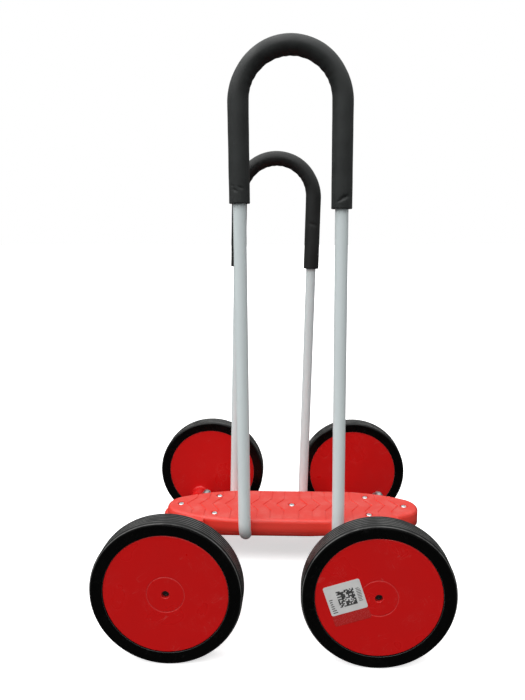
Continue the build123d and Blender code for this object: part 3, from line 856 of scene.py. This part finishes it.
class WALKER_OT_grips(bpy.types.Operator):
    """Model the foam sleeves with their folds, dents and square-cut ends"""

    bl_idname = "walker.grips"
    bl_label = "Foam grips"

    def execute(self, context):
        shapes = context.scene.walker_shapes
        foam = grip_foam(context.scene.walker_finish)
        for side in SIDES:
            path = HoopPath(side)
            shape = grip_shape(path, shapes, thumb_marks(side, path, shapes.foam_dent))
            piece = add_mesh(f"{side}_foam_grip", shape, foam, f"{side}_step")
            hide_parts(f"{side}_grip")
        return {"FINISHED"}


class WALKER_OT_hardware(bpy.types.Operator):
    """Finish the plated rods, screws, washers, pins and clamps"""

    bl_idname = "walker.hardware"
    bl_label = "Hardware"

    def execute(self, context):
        kinds = ("crank_rod", "crank_nuts", "crank_washers", "spacer_washers",
                 "retaining_rings", "lock_pins")
        names = [f"{end}_{kind}" for end in ENDS for kind in kinds]
        names += [f"{side}_{kind}" for side in SIDES
                  for kind in ("step_screws", "tube_clamps", "clamp_screws")]
        dress(names, plated_steel("Plated Steel", 1.0))
        # the hub screws' steel colours are darkened to about a sixth
        dress([f"{end}_hub_screws" for end in ENDS], plated_steel("Dark Steel", 0.16))
        return {"FINISHED"}


class WALKER_OT_label(bpy.types.Operator):
    """Make the sticker: white paper with generic print above a strip of clear film"""

    bl_idname = "walker.label"
    bl_label = "Sticker"

    def execute(self, context):
        paper = plain_plastic("Label Paper", (0.80, 0.80, 0.79), 0.5)
        ink = plain_plastic("Label Ink", (0.05, 0.05, 0.05), 0.5)
        film = plain_plastic("Label Film", (0.58, 0.030, 0.028), 0.22)
        low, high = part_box("wheel_label")
        centre = (low + high) / 2
        thickness = high.y - low.y
        off_wheel = Matrix(((1, 0, 0), (0, 0, -1), (0, 1, 0))).to_4x4()
        place = Matrix.Translation((centre.x, high.y, centre.z)) @ off_wheel
        place = place @ Matrix.Rotation(context.scene.walker_shapes.label_turn, 4, "Z")
        corner = Vector((LABEL_WIDTH / 2, LABEL_HEIGHT / 2))
        seam = FILM_STRIP - corner.y
        film_strip = rounded_panel(-corner, Vector((corner.x, seam)), 0.002, thickness * 0.6)
        sheet = rounded_panel(Vector((-corner.x, seam)), corner, 0.0025, thickness)
        parts = {
            "label_film": (film_strip, film),
            "label_paper": (sheet, paper),
            "label_ink": (label_print(thickness, thickness * 1.25), ink),
        }
        for name, (shape, material) in parts.items():
            shape.transform(place)
            piece = add_mesh(name, shape, material, "front_crank")
            if name == "label_paper":
                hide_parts("wheel_label")
        return {"FINISHED"}


class WALKER_OT_stage(bpy.types.Operator):
    """Set up the floor, the lights and the camera"""

    bl_idname = "walker.stage"
    bl_label = "Studio"

    def execute(self, context):
        studio = context.scene.walker_studio
        make_floor()
        make_lights(studio)
        make_camera(studio)
        return {"FINISHED"}


# ---- studio ----
FLOOR_REACH = 30.0
LIGHT_TRAVEL = Vector((0.42, 0.42, -1.0))
LIGHT_SPREAD = math.radians(80)
SENSOR_WIDTH = 36  # millimetres
VIEW_SHIFT = (-0.02618, -0.02198)


def seen_or_lit(tree, seen, lit):
    """Value that is one number to the eye and another to the light that bounces."""
    path = put(tree, "ShaderNodeLightPath")
    return steps_between(tree, path.outputs["Is Camera Ray"], 0.0, 1.0, lit, seen)


def make_floor():
    """Wide white floor that shows faint shadows and sends little light back up."""
    shape = bmesh.new()
    corners = ((-1, -1), (1, -1), (1, 1), (-1, 1))
    shape.faces.new([shape.verts.new((x * FLOOR_REACH, y * FLOOR_REACH, 0)) for x, y in corners])
    mesh = bpy.data.meshes.new("studio_floor")
    shape.to_mesh(mesh)
    shape.free()
    made, tree, shader = start_material("Studio Floor")
    white = seen_or_lit(tree, 0.95, 0.05)
    tree.links.new(white, shader.inputs["Base Color"])
    shader.inputs["Roughness"].default_value = 0.9
    shader.inputs["Specular IOR Level"].default_value = 0.0
    shader.inputs["Emission Color"].default_value = (1, 1, 1, 1)
    tree.links.new(seen_or_lit(tree, 0.55, 0.0), shader.inputs["Emission Strength"])
    mesh.materials.append(made)
    floor = bpy.data.objects.new("studio_floor", mesh)
    bpy.context.scene.collection.objects.link(floor)


def make_lights(studio):
    """Broad overhead light from the rear right, and an even fill whose glints come from above."""
    sun = bpy.data.lights.new("overhead_light", "SUN")
    sun.energy = studio.overhead
    sun.angle = LIGHT_SPREAD
    lamp = bpy.data.objects.new("overhead_light", sun)
    bpy.context.scene.collection.objects.link(lamp)
    lamp.rotation_euler = LIGHT_TRAVEL.to_track_quat("-Z", "Y").to_euler()
    world = bpy.data.worlds.new("Studio Sky")
    bpy.context.scene.world = world
    world.use_nodes = True
    tree = world.node_tree
    sky = tree.nodes["Background"]
    sky.inputs["Color"].default_value = (1, 1, 1, 1)
    where = put(tree, "ShaderNodeTexCoord")
    split = put(tree, "ShaderNodeSeparateXYZ", {0: where.outputs["Generated"]})
    glint = steps_between(tree, split.outputs["Z"], 0.1, 0.9, 0.04, 1.6)
    path = put(tree, "ShaderNodeLightPath")
    glossy = calc(tree, "MULTIPLY", path.outputs["Is Glossy Ray"],
                  calc(tree, "SUBTRACT", glint, studio.fill))
    lit = calc(tree, "ADD", glossy, studio.fill)
    shown = calc(tree, "MULTIPLY", path.outputs["Is Camera Ray"],
                 calc(tree, "SUBTRACT", 1.0, lit))
    tree.links.new(calc(tree, "ADD", lit, shown), sky.inputs["Strength"])
    bpy.context.scene.view_settings.view_transform = "Standard"


def make_camera(studio):
    """Camera half a metre up, beside the right side, looking a little down."""
    data = bpy.data.cameras.new("studio_camera")
    data.lens = studio.lens
    data.sensor_width = SENSOR_WIDTH
    data.shift_x, data.shift_y = VIEW_SHIFT
    made = bpy.data.objects.new("studio_camera", data)
    bpy.context.scene.collection.objects.link(made)
    yaw, pitch, roll = studio.yaw, studio.pitch, studio.roll
    forward = Vector((math.sin(yaw) * math.cos(pitch), math.cos(yaw) * math.cos(pitch),
                      math.sin(pitch)))
    right = Vector((math.cos(yaw), -math.sin(yaw), 0))
    down = forward.cross(right)
    side = math.cos(roll) * right + math.sin(roll) * down
    below = -math.sin(roll) * right + math.cos(roll) * down
    turn = Matrix((side, -below, -forward)).transposed().to_4x4()
    made.matrix_world = Matrix.Translation(Vector(studio.stand)) @ turn
    bpy.context.scene.camera = made


class WALKER_PT_panel(bpy.types.Panel):
    """Sidebar panel that lists the walker's operators and settings"""

    bl_idname = "WALKER_PT_panel"
    bl_label = "Pedal Walker"
    bl_space_type = "VIEW_3D"
    bl_region_type = "UI"
    bl_category = "Pedal Walker"

    def draw(self, context):
        for operator in OPERATORS:
            self.layout.operator(operator.bl_idname)
        scene = context.scene
        for settings in (scene.walker_finish, scene.walker_shapes, scene.walker_studio):
            for name in settings.__annotations__:
                self.layout.prop(settings, name)


GROUPS = (WalkerFinish, WalkerShapes, WalkerStudio)
OPERATORS = (
    WALKER_OT_stage, WALKER_OT_effects, WALKER_OT_wheels, WALKER_OT_steps, WALKER_OT_handles,
    WALKER_OT_grips, WALKER_OT_hardware, WALKER_OT_label,
)


def register():
    for kind in (*GROUPS, *OPERATORS, WALKER_PT_panel):
        bpy.utils.register_class(kind)
    bpy.types.Scene.walker_finish = PointerProperty(type=WalkerFinish)
    bpy.types.Scene.walker_shapes = PointerProperty(type=WalkerShapes)
    bpy.types.Scene.walker_studio = PointerProperty(type=WalkerStudio)


def unregister():
    del bpy.types.Scene.walker_finish
    del bpy.types.Scene.walker_shapes
    del bpy.types.Scene.walker_studio
    for kind in reversed((*GROUPS, *OPERATORS, WALKER_PT_panel)):
        bpy.utils.unregister_class(kind)


def main():
    """Make every piece."""
    register()
    bpy.ops.walker.stage()
    bpy.ops.walker.effects()
    bpy.ops.walker.wheels()
    bpy.ops.walker.steps()
    bpy.ops.walker.handles()
    bpy.ops.walker.grips()
    bpy.ops.walker.hardware()
    bpy.ops.walker.label()


if __name__ == "__main__":
    main()
